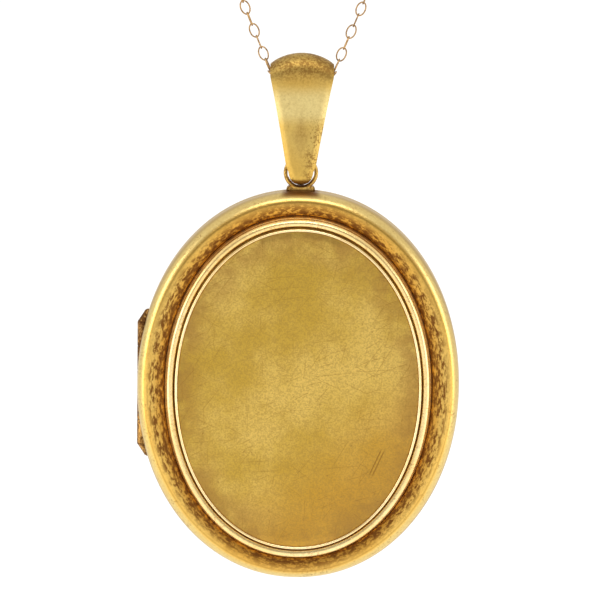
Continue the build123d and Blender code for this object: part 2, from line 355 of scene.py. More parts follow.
def finish_tree(tree, given, geometry):
    """Ends a tree: real geometry, smooth shading and the material."""
    real = add_node(tree, "GeometryNodeRealizeInstances", {"Geometry": geometry})
    smooth = add_node(tree, "GeometryNodeSetShadeSmooth", {"Geometry": real})
    paint = add_node(tree, "GeometryNodeSetMaterial", {"Geometry": smooth, "Material": given["Material"]})
    add_node(tree, "NodeGroupOutput", {"Geometry": paint})
    return tree


def run_tree(carrier, tree, values, material, name):
    """Applies a tree to an object with the named input values, and returns the plain mesh object."""
    modifier = carrier.modifiers.new("build", "NODES")
    modifier.node_group = tree
    values = {**values, "Material": material}
    for item in tree.interface.items_tree:
        if item.in_out == "INPUT" and item.name in values:
            modifier[item.identifier] = values[item.name]
    mesh = evaluated_mesh(carrier)
    mesh.name = name
    bpy.data.objects.remove(carrier)
    return new_object(name, mesh)


FIRST_HIDDEN = 8.5  # links further in than this from an end lie inside the bail
HIDDEN_TURN = 0.9
LOOSE_TURN = 0.12


def link_tree():
    """Wire links along a curve, every other one turned a quarter round, counted in from both ends.

    The links inside the bail are turned further, so that none looks out past its edges.
    """
    numbers = ("Link length", "Link width", "Wire", "Count", "Quarter turn")
    tree, given = geometry_tree("trace_links", numbers)
    centres = add_node(tree, "GeometryNodeResampleCurve", {
        "Curve": given["Geometry"], "Count": given["Count"],
    })
    round_link = add_node(tree, "GeometryNodeCurvePrimitiveCircle", {"Resolution": 28, "Radius": 0.5})
    size = add_node(tree, "ShaderNodeCombineXYZ", {
        "X": given["Link length"] - given["Wire"], "Y": given["Link width"] - given["Wire"], "Z": 1.0,
    })
    oval = add_node(tree, "GeometryNodeTransform", {"Geometry": round_link, "Scale": size})
    upright = add_node(tree, "GeometryNodeTransform", {"Geometry": oval, "Rotation": (math.pi / 2, 0, 0)})
    wire = add_node(tree, "GeometryNodeCurvePrimitiveCircle", {
        "Resolution": 10, "Radius": given["Wire"] * 0.5,
    })
    drawn = add_node(tree, "GeometryNodeCurveToMesh", {"Curve": upright, "Profile Curve": wire})
    tangent = add_node(tree, "GeometryNodeInputTangent")
    along = add_node(tree, "FunctionNodeAlignRotationToVector", {"Vector": tangent}, axis="X")
    index = Field(tree, add_node(tree, "GeometryNodeInputIndex").outputs[0])
    last = given["Count"] - 1.0
    from_end = index.op("MINIMUM", last - index)
    middle = index.op("COMPARE", last * 0.5, 0.6)
    side = (index - last * 0.5).op("SIGN")
    quarters = math_node(tree, "SUBTRACT", 1.0, from_end.op("MODULO", 2.0)) + middle * side * 0.5
    quarters = quarters + from_end.op("GREATER_THAN", FIRST_HIDDEN) * HIDDEN_TURN
    loose = add_node(
        tree, "FunctionNodeRandomValue", {2: -LOOSE_TURN, 3: LOOSE_TURN, "Seed": 4}, data_type="FLOAT"
    )
    roll = quarters * given["Quarter turn"] + Field(tree, loose.outputs[1])
    angles = add_node(tree, "ShaderNodeCombineXYZ", {"X": roll})
    rolled = add_node(tree, "FunctionNodeEulerToRotation", {0: angles})
    rotation = add_node(tree, "FunctionNodeRotateRotation", {0: along, 1: rolled}, rotation_space="LOCAL")
    given_places = {"Points": centres, "Instance": drawn, "Rotation": rotation}
    return finish_tree(tree, given, add_node(tree, "GeometryNodeInstanceOnPoints", given_places))


chain_gold = gold(
    "chain_gold", (0.50, 0.32, 0.15), (0.14, 0.07, 0.03), 0.28, (0.45, 0.65, 0.7), grain=0.15, scratch=0.0
)
centre_line, centre_spline = new_curve("chain_route", "NURBS", route)
centre_spline.order_u = 3
centre_spline.use_endpoint_u = True
chain_path = [tuple(v.co) for v in evaluated_mesh(centre_line).vertices]
link_sizes = {
    "Link length": LINK_LENGTH, "Link width": LINK_WIDTH, "Wire": CHAIN_WIRE,
    "Count": LINK_COUNT, "Quarter turn": math.pi / 2,
}
chain = run_tree(centre_line, link_tree(), link_sizes, chain_gold, "trace_chain")


def band_mesh(name, rows):
    """A surface over equal rows of points, closed both ways."""
    wide = len(rows[0])
    faces = []
    for i in range(len(rows)):
        for j in range(wide):
            k, m = (i + 1) % len(rows), (j + 1) % wide
            faces.append((i * wide + j, k * wide + j, k * wide + m, i * wide + m))
    mesh = bpy.data.meshes.new(name)
    mesh.from_pydata([point for row in rows for point in row], [], faces)
    return mesh


def ring_mesh(name, centre, radius, wire, around=96, across=20):
    """A round wire ring that faces the front."""
    rows = []
    for i in range(around):
        a = 2 * math.pi * i / around
        out = Vector((math.cos(a), 0, math.sin(a)))
        row = []
        for j in range(across):
            b = 2 * math.pi * j / across
            row.append(centre + out * (radius + wire * math.cos(b)) + Vector((0, wire * math.sin(b), 0)))
        rows.append(row)
    mesh = band_mesh(name, rows)
    mesh.shade_smooth()
    return mesh


for side in ("left", "right"):
    low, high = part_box(f"chain_end_ring_{side}")
    middle = (low + high) / 2
    wire = (high.y - low.y) / 2
    mesh = ring_mesh(f"end_ring_{side}", middle, (high.x - low.x) / 2 - wire, wire)
    ring = new_object(f"end_ring_{side}", mesh, chain_gold)
    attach(ring, "chain")
    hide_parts(f"chain_end_ring_{side}")
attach(chain, "chain")
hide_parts("chain_links")


# ---- Bail -------------------------------------------------------------------------------------
# A gold strap folded over at the top and brought together at the tip, open at both sides. It
# tapers downwards, is crowned across its top, and has a bevel along both edges.

BAIL_WALL = 0.3 * MM
BAIL_TOP_HALF = 4.08 * MM
BAIL_NECK_HALF = 1.93 * MM
BAIL_SHOULDER = 1.3 * MM
BAIL_NECK = -11.64 * MM
BAIL_RISE = 2.72 * MM
FOLD_RADIUS = 2.15 * MM
TIP_FOLD = 1.3 * MM
TIP_HALF = 1.54 * MM
CROWN_RADIUS = 7.2 * MM
BEVEL_WIDTH = 0.72 * MM
BEVEL_DROP = 0.34 * MM
BEVEL_CURVE = 1.15
BEVEL_AT_FOLD = 0.2  # the share of the bevel that is left where the strap folds over
BEVEL_FADE = 3.5 * MM
LINING_AT_NECK = 0.22  # how much of the bevel's drop shows inside the strap
LINING_MORE = 0.33
LINING_RISE = 2.5 * MM
BAIL_SWELL = 0.10 * MM
ring_low, ring_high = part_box("suspension_ring")
ring_centre = (ring_low + ring_high) / 2
crown_centre = BAIL_RISE - CROWN_RADIUS


def clamp(value):
    """A value held between 0 and 1."""
    return min(1.0, max(0.0, value))


def bail_half_width(z):
    """Half the strap's width at a height, with the rounded tip."""
    if z >= BAIL_NECK:
        share = min(1.0, (z - BAIL_NECK) / (BAIL_SHOULDER - BAIL_NECK))
        return BAIL_NECK_HALF + (BAIL_TOP_HALF - BAIL_NECK_HALF) * share
    if z >= ring_centre.z:
        share = (z - ring_centre.z) / (BAIL_NECK - ring_centre.z)
        return TIP_HALF + (BAIL_NECK_HALF - TIP_HALF) * share
    drop = ring_centre.z - z
    return max(0.3 * MM, math.sqrt(max(0.0, TIP_HALF ** 2 - drop ** 2)))


def side_arc(x, z, radius, start, sweep, steps=20):
    """Points on an arc seen from the side, each with its outward direction."""
    arc = []
    for i in range(steps + 1):
        a = start + sweep * i / steps
        out = Vector((0, math.cos(a), math.sin(a)))
        arc.append((Vector((x, 0, z)) + out * radius, out))
    return arc


def straight(start, end, out, steps=26):
    """The points between two ends, with one outward direction."""
    return [(start.lerp(end, i / steps), out) for i in range(1, steps)]


def fold_loop(x):
    """Side view of the strap at one place across: points and outward directions, closed."""
    top_z = crown_centre + math.sqrt(CROWN_RADIUS ** 2 - x ** 2) - FOLD_RADIUS
    low_z = ring_centre.z - TIP_HALF + TIP_FOLD
    lean = math.asin((FOLD_RADIUS - TIP_FOLD) / (top_z - low_z))
    fold = side_arc(x, top_z, FOLD_RADIUS, -lean, math.pi + 2 * lean)
    tip = side_arc(x, low_z, TIP_FOLD, math.pi + lean, math.pi - 2 * lean)
    down = straight(fold[-1][0], tip[0][0], tip[0][1])
    up = straight(tip[-1][0], fold[0][0], fold[0][1])
    return fold + down + tip + up


def bail_mesh():
    """The strap as one closed band: its outside, its two edges and its inside."""
    across = [-1 + 2 * k / 36 for k in range(37)]
    rows = []
    for row, (centre_point, _) in enumerate(fold_loop(0.0)):
        z = centre_point.z
        half = bail_half_width(z)
        bevel_share = BEVEL_AT_FOLD + (1 - BEVEL_AT_FOLD) * clamp((1.0 * MM - z) / BEVEL_FADE)
        lining = LINING_AT_NECK + LINING_MORE * clamp((z - BAIL_NECK) / LINING_RISE)
        outer, inner = [], []
        for t in across:
            x = t * half
            place, out = fold_loop(x)[row]
            edge = clamp((abs(x) - (half - BEVEL_WIDTH)) / BEVEL_WIDTH) if half > 2 * BEVEL_WIDTH else 0.0
            drop = BEVEL_DROP * edge ** BEVEL_CURVE * bevel_share
            outer.append(place + out * (BAIL_SWELL * (1 - t * t) - drop))
            inner.append(place - out * (BAIL_WALL + drop * lining))
        rows.append(outer + list(reversed(inner)))
    return band_mesh("bail_strap", rows)


def tidy_surface(mesh, angle=35):
    """Merges doubles, turns all faces outwards and shades smooth up to an angle."""
    work = bmesh.new()
    work.from_mesh(mesh)
    bmesh.ops.remove_doubles(work, verts=work.verts, dist=1e-7)
    bmesh.ops.dissolve_degenerate(work, edges=work.edges, dist=1e-8)
    bmesh.ops.recalc_face_normals(work, faces=work.faces)
    work.to_mesh(mesh)
    work.free()
    mesh.shade_smooth()
    mesh.set_sharp_from_angle(angle=math.radians(angle))


def bail_tarnish(tree, mottle):
    """Brown mottling on the crown, a dark cloud below the pale middle, and a speckled right side."""
    x, _, z = axes(tree, object_point(tree))
    crown = z.step(-1.6 * MM, 1.0 * MM) * mottle.step(0.40, 0.60, 0.3, 0.8)
    low = z.step(-7.5 * MM, -4.5 * MM, 1.0, 0.0) * mottle.step(0.50, 0.62, 0.05, 0.65)
    right = x.step(-0.2 * MM, 1.2 * MM) * low
    from_cloud = abs(z + 7.6 * MM) * 0.75 + abs(x) * 1.7
    cloud = from_cloud.step(0.1 * MM, 3.0 * MM, 0.5, 0.0) * mottle.step(0.35, 0.6, 0.6, 1.0)
    return crown.most(right).most(cloud)


def bail_zones(tree, metal):
    """A painted highlight, pale, across the middle of the strap, and more orange near the tip."""
    z = axes(tree, object_point(tree))[2]
    # Painted highlight: a pale band across the middle of the strap, set by height alone.
    middle = abs(z + 3.8 * MM).step(0.8 * MM, 3.0 * MM, 0.75, 0.0)
    metal = mix_colour(tree, middle, metal, (0.74, 0.61, 0.27))
    return mix_colour(tree, z.step(-13.5 * MM, -9.5 * MM, 0.7, 0.0), metal, (0.60, 0.37, 0.07))


bail_gold = gold(
    "bail_gold", (0.60, 0.42, 0.12), (0.20, 0.095, 0.022), 0.3, (0.64, 0.78, 0.35), bail_tarnish,
    zones=bail_zones,
)
strap_mesh = bail_mesh()
tidy_surface(strap_mesh, 30)
strap = new_object("strap", strap_mesh, bail_gold)
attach(strap, "bail")
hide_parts("bail_strap")


# ---- Suspension ring and its foot -------------------------------------------------------------
# A round wire ring through the fold of the bail, soldered into a small foot on top of the back
# half. The solder is rough and has spread a little at both sides.

def ring_tarnish_and_shade(tree, mottle):
    """Painted shade with tarnish inside the ring, a painted shadow under the foot, and blotched tarnish
    elsewhere.
    """
    point = object_point(tree, origin=tuple(ring_centre), scale=(1, 0, 1))
    out, up = vector_length(tree, point), axes(tree, point)[2]
    # Painted shade with tarnish: the inner half of the ring dark, most of all on its lower part.
    inside = out.step(1.82 * MM, 1.95 * MM, 0.97, 0.0) * up.step(-1.2 * MM, -0.3 * MM, 1.0, 0.3)
    # Painted shadow: dark below the ring's lower edge, down on the foot.
    under = up.step(-2.3 * MM, -1.95 * MM, 0.9, 0.0)
    blotch = mottle.step(0.48, 0.62, 0.0, 0.6)
    foot_part = out.step(2.05 * MM, 2.3 * MM, 0.0, 0.75) * mottle.step(0.36, 0.54, 0.45, 1.0)
    return inside.most(under).most(blotch).most(foot_part)


ring_gold = gold(
    "ring_gold", (0.72, 0.47, 0.13), (0.11, 0.04, 0.01), 0.28, (0.6, 0.75, 0.6), ring_tarnish_and_shade, grain=0.6,
    scratch=0.0,
)
wire_half = (ring_high.y - ring_low.y) / 2
hang_ring = new_object(
    "hang_ring",
    ring_mesh("hang_ring", ring_centre, (ring_high.x - ring_low.x) / 2 - wire_half, wire_half, 128, 24),
    ring_gold,
)
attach(hang_ring, "back_case")
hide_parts("suspension_ring")

foot_low, foot_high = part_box("ring_foot")
FOOT_SHARE = (0.97, 0.98, 1.0)
FOOT_TAPER = 0.3
FOOT_LUMPS = Vector((0.03, 0.02, 0.02)) * MM
SOLDER_INSIDE = 1.68 * MM
SOLDER_OUTSIDE = 1.95 * MM
SOLDER_THICK = 0.17 * MM
SOLDER_WAVE = 0.03 * MM
SOLDER_FROM, SOLDER_ARC, SOLDER_STEPS = 200, 140, 24  # degrees round the ring


def made_mesh(work, name):
    """Ends a bmesh as a mesh."""
    mesh = bpy.data.meshes.new(name)
    work.to_mesh(mesh)
    work.free()
    return mesh


def foot_mesh():
    """A block with rounded corners and a lumpy skin, narrower at the top, and its solder."""
    work = bmesh.new()
    bmesh.ops.create_cube(work, size=1.0)
    bmesh.ops.bevel(work, geom=work.edges[:], offset=0.12, segments=3, affect="EDGES")
    bmesh.ops.subdivide_edges(work, edges=work.edges[:], cuts=2, use_grid_fill=True)
    middle = (foot_low + foot_high) / 2
    size = foot_high - foot_low
    for vert in work.verts:
        place = Vector(vert.co[k] * size[k] * FOOT_SHARE[k] + middle[k] for k in range(3))
        lump = math.sin(place.x * 5200) * math.cos(place.y * 6100 + place.x * 2700)
        place.x = middle.x + (place.x - middle.x) * (1 - FOOT_TAPER * max(0.0, vert.co.z))
        vert.co = place + FOOT_LUMPS * lump
    rows = []
    for i in range(SOLDER_STEPS + 1):
        a = math.radians(SOLDER_FROM + SOLDER_ARC * i / SOLDER_STEPS)
        out = Vector((math.cos(a), 0, math.sin(a)))
        thick = SOLDER_THICK + SOLDER_WAVE * math.sin(i * 1.9)
        corners = (
            (SOLDER_INSIDE, -thick), (SOLDER_INSIDE, thick),
            (SOLDER_OUTSIDE, thick), (SOLDER_OUTSIDE, -thick),
        )
        rows.append([work.verts.new(ring_centre + out * r + Vector((0, y, 0))) for r, y in corners])
    for near, far in zip(rows, rows[1:]):
        for j in range(4):
            k = (j + 1) % 4
            work.faces.new((near[j], near[k], far[k], far[j]))
    for end in (rows[0], rows[-1]):
        work.faces.new(end)
    mesh = made_mesh(work, "ring_foot")
    tidy_surface(mesh, 60)
    return mesh


foot = new_object("foot", foot_mesh(), ring_gold)
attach(foot, "back_case")
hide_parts("ring_foot")


# ---- Rims -------------------------------------------------------------------------------------
# Each half has a hollow half-round rim pressed from sheet. The two meet at the seam. The rims are
# cut away round the hinge, and the back one has a nick for a nail on the right.

def half_size(low, high):
    """Half the width and half the height of a box."""
    return (high.x - low.x) / 2, (high.z - low.z) / 2


outline_size = half_size(rim_low, rim_high)
well_size = half_size(*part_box("front_moulding"))
bed_size = half_size(*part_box("front_plate"))
PANEL_HALF = (15.58 * MM, 20.68 * MM)
SEAM = 0.02 * MM
RIM_CROWN = 2.95 * MM
RIM_GROOVE = 2.5 * MM
RIM_SHOULDER = 0.95 * MM
HALVES = (("back", "back_case", 1), ("front", "front_cover", -1))  # name, body, way it faces
NICK = (0.7 * MM, 0.7 * MM, 6 * MM)
FULLNESS = 2.06  # a true ellipse is 2: the locket's ovals are a touch fuller


def oval_height(half_width):
    """The half height that belongs to a half width, between the locket's own ovals."""
    known = [(0.0, 0.0), PANEL_HALF, bed_size, well_size, outline_size]
    for (w0, h0), (w1, h1) in zip(known, known[1:]):
        if half_width <= w1 or (w1, h1) == known[-1]:
            return h0 + (h1 - h0) * (half_width - w0) / (w1 - w0)


def oval_tree():
    """Sweeps a section round an oval: each point holds its half width, depth and half height."""
    tree, given = geometry_tree("oval_sweep", ("Centre height", "Facing", "Segments", "Fullness"))

    def kept(kind, name, geometry, value):
        """Keeps a value with each point: returns the geometry and the value."""
        node = add_node(tree, "GeometryNodeCaptureAttribute")
        node.capture_items.new(kind, name)
        fill_inputs(tree, node, {0: geometry, 1: value})
        return Field(tree, node.outputs[0]), Field(tree, node.outputs[1])

    drawn_at = add_node(tree, "GeometryNodeInputPosition")
    section, place = kept("VECTOR", "Section", given["Geometry"], drawn_at)
    circle = add_node(tree, "GeometryNodeCurvePrimitiveCircle", {
        "Radius": 0.02, "Resolution": given["Segments"],
    })
    index = Field(tree, add_node(tree, "GeometryNodeInputIndex").outputs[0])
    path, angle = kept("FLOAT", "Angle", circle, index.op("DIVIDE", given["Segments"]) * (2 * math.pi))
    skin = add_node(tree, "GeometryNodeCurveToMesh", {"Curve": path, "Profile Curve": section})
    half_width, depth, half_height = axes(tree, place)
    cosine, sine = angle.op("COSINE"), angle.op("SINE")
    power = given["Fullness"]
    total = abs(cosine).op("POWER", power) + abs(sine).op("POWER", power)
    fuller = total.op("POWER", math_node(tree, "DIVIDE", -1.0, power))
    point = add_node(tree, "ShaderNodeCombineXYZ", {
        "X": cosine * fuller * half_width,
        "Y": depth * given["Facing"],
        "Z": sine * fuller * half_height + given["Centre height"],
    })
    moved = add_node(tree, "GeometryNodeSetPosition", {"Geometry": skin, "Position": point})
    return finish_tree(tree, given, moved)


oval_sweep = oval_tree()


def oval_piece(name, section, facing, material, segments=288, angle=35):
    """A piece swept round the case from a closed section of half widths and depths."""
    points = [(half_width, depth, oval_height(half_width)) for half_width, depth in section]
    carrier, spline = new_curve(name + "_section", "POLY", points)
    spline.use_cyclic_u = True
    values = {
        "Centre height": case_centre.z, "Facing": facing, "Segments": segments, "Fullness": FULLNESS,
    }
    obj = run_tree(carrier, oval_sweep, values, material, name)
    tidy_surface(obj.data, angle)
    return obj


def cut_away(obj, cutter):
    """Takes one closed mesh out of another."""
    tool = new_object("cutter", cutter)
    modifier = obj.modifiers.new("cut", "BOOLEAN")
    modifier.operation = "DIFFERENCE"
    modifier.object = tool
    modifier.solver = "EXACT"
    mesh = evaluated_mesh(obj)
    obj.modifiers.clear()
    obj.data = mesh
    bpy.data.objects.remove(tool)
    tidy_surface(mesh, 35)


def upright_bar(x, radius, length, segments=64):
    """A closed round bar along the hinge's line."""
    work = bmesh.new()
    bmesh.ops.create_cone(
        work, cap_ends=True, segments=segments, radius1=radius, radius2=radius, depth=length,
        matrix=Matrix.Translation((x, 0, case_centre.z)),
    )
    return made_mesh(work, "bar")


def rim_section():
    """Half-round outside, straight down to the groove inside, and flat on the seam."""
    outer, inner = outline_size[0], well_size[0]
    crown = (outer + inner) / 2 + 0.1 * MM
    points = [(outer - 0.08 * MM, SEAM), (outer, SEAM + 0.08 * MM), (outer, RIM_SHOULDER)]
    for k in range(1, 19):
        a = math.pi / 2 * k / 18
        rise = (RIM_CROWN - RIM_SHOULDER) * math.sin(a)
        points.append((crown + (outer - crown) * math.cos(a), RIM_SHOULDER + rise))
    for k in range(1, 13):
        a = math.pi / 2 * k / 12
        rise = (RIM_CROWN - RIM_GROOVE) * math.cos(a)
        points.append((crown - (crown - inner) * math.sin(a), RIM_GROOVE + rise))
    return points + [(inner, 1.0 * MM), (inner, SEAM)]


def case_point(tree, size):
    """Places seen from the front, from the middle of the case, as shares of one of its ovals."""
    return object_point(tree, origin=tuple(case_centre), scale=(1 / size[0], 0.0, 1 / size[1]))


def oval_radius(tree, size):
    """How far out a point lies from the middle of the case, as a share of one of its ovals."""
    return vector_length(tree, case_point(tree, size))


def rim_streaks(tree, around, across):
    """Noise drawn out along the rim: so many blobs round a radian, and so many across a radius."""
    outward = vector_math(tree, "NORMALIZE", case_point(tree, outline_size))
    longer = vector_math(tree, "MULTIPLY", outward, (around, around, around))
    depth = add_node(tree, "ShaderNodeCombineXYZ", {"Y": oval_radius(tree, outline_size) * across})
    return noise(tree, vector_math(tree, "ADD", longer, depth), 1.0, 6.0, 0.72)


def rim_tarnish_and_shade(tree, mottle):
    """Streaks of tarnish along the rim from the groove across the band, painted shade in the groove, and
    a painted shadow under the ring's foot.
    """
    streaks = rim_streaks(tree, 21.0, 58.0)
    near_well, from_edge = oval_radius(tree, well_size), oval_radius(tree, outline_size)
    # Painted shade: dark where the rim runs down into the groove.
    groove_shade = near_well.step(1.002, 1.02, 0.45, 0.0)
    band = from_edge.step(0.905, 0.955, 1.0, 0.0) * streaks.step(0.45, 0.56, 0.08, 0.95)
    slope = near_well.step(1.02, 1.11, 1.0, 0.0) * streaks.step(0.42, 0.52, 0.1, 0.85)
    seam_line = from_edge.step(0.992, 1.002, 0.0, 0.35)
    x, _, z = axes(tree, object_point(tree))
    # Painted shadow: a dark patch on the rim's top under the ring's foot.
    foot_top = z.step(rim_high.z - 0.9 * MM, rim_high.z - 0.2 * MM)
    painted_foot_shadow = abs(x).step(1.8 * MM, 3.0 * MM, 0.9, 0.0) * foot_top
    return groove_shade.most(band).most(slope).most(painted_foot_shadow).most(seam_line)


def rim_zones(tree, metal):
    """Painted light: a pale painted highlight outside, a fine darker line of painted reflection, and
    orange painted reflection on the slope down to the groove.
    """
    from_edge = oval_radius(tree, outline_size)
    # Painted highlight: the outer band pale, as if lit by the side lights.
    metal = mix_colour(tree, from_edge.step(0.955, 0.975, 0.0, 0.8), metal, (0.66, 0.52, 0.21))
    # Painted reflection: a fine dark line, as of a dark gap between the lights.
    line = abs(from_edge - 0.954).step(0.0, 0.009, 0.6, 0.0)
    metal = mix_colour(tree, line, metal, (0.40, 0.23, 0.05))
    # Painted reflection: orange on the slope down to the groove, as of light thrown back from the
    # moulding.
    slope = oval_radius(tree, well_size).step(1.03, 1.10, 0.85, 0.0)
    return mix_colour(tree, slope, metal, (0.70, 0.34, 0.045))


rim_gold = gold(
    "rim_gold", (0.80, 0.52, 0.13), (0.17, 0.06, 0.013), 0.24, (0.58, 0.72, 0.45), rim_tarnish_and_shade,
    zones=rim_zones,
)
knuckle_low, knuckle_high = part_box("hinge_tips")
hinge_x = (knuckle_low.x + knuckle_high.x) / 2
RELIEF_RADIUS = 1.35 * MM
relief_length = knuckle_high.z - knuckle_low.z + 0.3 * MM
for half, body, facing in HALVES:
    rim = oval_piece(f"rim_{half}", rim_section(), facing, rim_gold)
    cut_away(rim, upright_bar(hinge_x, RELIEF_RADIUS, relief_length))
    if half == "back":
        nick = bmesh.new()
        bmesh.ops.create_cube(
            nick, size=1.0,
            matrix=Matrix.Translation((outline_size[0], 0.02 * MM, case_centre.z))
            @ Matrix.Diagonal((*NICK, 1)),
        )
        cut_away(rim, made_mesh(nick, "nick"))
    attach(rim, body)
    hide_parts(f"{half}_rim", f"{half}_seam_ring")


# ---- Mouldings --------------------------------------------------------------------------------
# A raised oval moulding stands in the well of each rim, with painted shade in the groove round its
# foot and in the groove inside it. Its crest is rounded, it is a paler gold than the rim, and it is
# soldered to the panel inside it.

MOULDING_FOOT = 1.9 * MM
MOULDING_SIDE = 3.35 * MM
MOULDING_CREST = 4.12 * MM
CREST_HALF = 16.55 * MM


def moulding_section():
    """Steep outside, a rounded crest and a short drop to the bed of the panel."""
    outer, inner = well_size[0] - 0.02 * MM, bed_size[0] + 0.02 * MM
    points = [
        (outer, MOULDING_FOOT), (outer, RIM_GROOVE + 0.05 * MM),
        (outer - 0.16 * MM, MOULDING_SIDE - 0.1 * MM),
    ]
    for k in range(0, 11):
        a = math.pi / 2 * k / 10
        rise = (MOULDING_CREST - MOULDING_SIDE) * math.sin(a)
        points.append((CREST_HALF + (outer - 0.24 * MM - CREST_HALF) * math.cos(a), MOULDING_SIDE + rise))
    for k in range(1, 7):
        a = math.pi / 2 * k / 6
        points.append((
            CREST_HALF - (CREST_HALF - inner) * math.sin(a),
            MOULDING_CREST - 0.45 * MM * (1 - math.cos(a)),
        ))
    return points + [(inner, 2.6 * MM), (inner, MOULDING_FOOT)]


def moulding_tarnish_and_shade(tree, mottle):
    """Painted shade round the foot and in the groove inside the crest, and speckled tarnish where the
    rubbing has missed.
    """
    # Painted shade: dark in the groove round the foot and where the moulding drops to the panel's bed.
    foot_groove_shade = oval_radius(tree, well_size).step(0.992, 0.999, 0.0, 0.4)
    inner_groove_shade = oval_radius(tree, bed_size).step(1.004, 1.016, 0.8, 0.0)
    return foot_groove_shade.most(mottle.step(0.58, 0.72, 0.0, 0.5)).most(inner_groove_shade)


moulding_gold = gold(
    "moulding_gold", (0.93, 0.72, 0.35), (0.40, 0.16, 0.03), 0.2, (0.66, 0.8, 0.5), moulding_tarnish_and_shade
)
for half, body, facing in HALVES:
    moulding = oval_piece(f"moulding_{half}", moulding_section(), facing, moulding_gold)
    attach(moulding, body)
    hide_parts(f"{half}_moulding")


# ---- Panels -----------------------------------------------------------------------------------
# One thin sheet fills each moulding: a narrow sunk bed with the plain oval panel pressed up out
# of it. The panel has a matte grain, stains, painted shade towards the lower right and the edge,
# and many hairline scratches.

BED_DEPTH = 3.6 * MM
PANEL_DEPTH = 4.3 * MM
PANEL_SHEET = 0.45 * MM
PANEL_SWELL = 0.03 * MM


def panel_section():
    """From the middle of the face out over the step to the bed, and back underneath."""
    face_half = PANEL_HALF[0] - 0.1 * MM
    shares = [k / 24 for k in range(25)]
    edge_top = [(k * face_half, PANEL_DEPTH + PANEL_SWELL * (1 - k ** 2)) for k in shares]
    step = [(PANEL_HALF[0] - 0.02 * MM, PANEL_DEPTH - 0.06 * MM), (PANEL_HALF[0], BED_DEPTH)]
    outer = [(bed_size[0], BED_DEPTH), (bed_size[0], BED_DEPTH - 0.25 * MM)]
    under_edge = PANEL_HALF[0] - PANEL_SHEET
    under = [(under_edge, BED_DEPTH - 0.25 * MM), (under_edge, PANEL_DEPTH - PANEL_SHEET)]
    return edge_top + step + outer + under + [(0.0, PANEL_DEPTH - PANEL_SHEET)]


def panel_gold_material():
    """Matte olive gold: cloudy stains, painted shade towards the lower right, stains with painted shade
    towards the edge, fine grain, speckles and scratches in several directions.
    """
    material, tree, shader = principled("panel_gold")
    point = object_point(tree, origin=tuple(case_centre))
    x, _, z = axes(tree, point)
    clouds = noise(tree, point, 95, 4.0, 0.55)
    stains = noise(tree, point, 330, 5.0, 0.62)
    grain = noise(tree, point, 5200, 3.0, 0.7)
    specks = noise(tree, point, 1500, 4.0, 0.7).step(0.62, 0.74, 0.0, 0.55)
    # Painted shade: darker and more orange towards the lower right.
    lower_right_shade = (z * -1.3 + x).step(6 * MM, 26 * MM, 0.0, 0.8)
    # Stains with painted shade: darker towards the panel's edge, in patches.
    edge = oval_radius(tree, PANEL_HALF).step(0.72, 1.0, 0.0, 0.75) * stains.step(0.35, 0.62, 0.2, 1.0)
    colour = mix_colour(tree, clouds.step(0.34, 0.66), (0.53, 0.34, 0.05), (0.71, 0.49, 0.12))
    colour = mix_colour(tree, lower_right_shade, colour, (0.52, 0.27, 0.035))
    colour = mix_colour(tree, edge, colour, (0.36, 0.19, 0.045))
    colour = mix_colour(tree, specks, colour, (0.24, 0.11, 0.03))
    colour = mix_colour(tree, grain.step(0.38, 0.64, 0.0, 0.5), colour, (0.30, 0.18, 0.045))
    marks = scratches(tree, 0.95, 4.2 * MM, 1.4 * MM, 0.06 * MM, 0.22, 3)
    for turn, along, across, share, seed in (
        (-0.55, 3.4, 1.3, 0.2, 4), (1.45, 2.6, 1.1, 0.18, 5),
        (0.08, 5.5, 1.5, 0.2, 6), (0.4, 2.2, 0.9, 0.2, 7),
    ):
        marks = marks.most(scratches(tree, turn, along * MM, across * MM, 0.055 * MM, share, seed))
    marks = marks * noise(tree, point, 150, 2.0).step(0.36, 0.6, 0.25, 1.0)
    deep_middle = (10.3 * MM, 0, case_centre.z - 9.4 * MM)
    u, _, v = axes(tree, object_point(tree, origin=deep_middle, turn=(0, math.radians(66), 0)))
    deep_pair = abs(abs(v) - 0.2 * MM).step(0.03 * MM, 0.12 * MM, 1.4, 0.0)
    marks = marks.most(deep_pair * abs(u).step(1.3 * MM, 2.2 * MM, 1.0, 0.0))
    finish_surface(
        tree, shader, mix_colour(tree, marks * 0.6, colour, (0.26, 0.13, 0.025)),
        rough=specks * 0.2 + (stains * 0.14 + 0.36), height=grain * 0.5 - marks * 0.55 + stains * 0.5,
    )
    return material


panel_gold = panel_gold_material()
for half, body, facing in HALVES:
    panel = oval_piece(f"panel_{half}", panel_section(), facing, panel_gold, angle=30)
    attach(panel, body)
    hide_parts(f"{half}_plate")


# ---- Lip wires --------------------------------------------------------------------------------
# A thin round wire lies in the sunk bed between the panel and the moulding, soldered down. The
# whole wire is a pale gold.

LIP_RADIUS = 0.17 * MM
LIP_HALF = 15.75 * MM
LIP_DEPTH = 4.25 * MM

lip_gold = gold(
    "lip_gold", (0.98, 0.80, 0.46), (0.5, 0.25, 0.07), 0.22, (0.66, 0.8, 0.5), grain=0.2, scratch=0.0
)


def wire_section(points=16):
    """A round section."""
    turns = [2 * math.pi * k / points for k in range(points)]
    return [(LIP_HALF + LIP_RADIUS * math.cos(a), LIP_DEPTH + LIP_RADIUS * math.sin(a)) for a in turns]


for half, body, facing in HALVES:
    wire = oval_piece(f"wire_{half}", wire_section(), facing, lip_gold, angle=80)
    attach(wire, body)
    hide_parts(f"{half}_lip_wire")


# ---- Snap rim ---------------------------------------------------------------------------------
# A thin upright wall on the back half, which the cover closes over with a click. It is clean
# bright gold, since it stays inside.

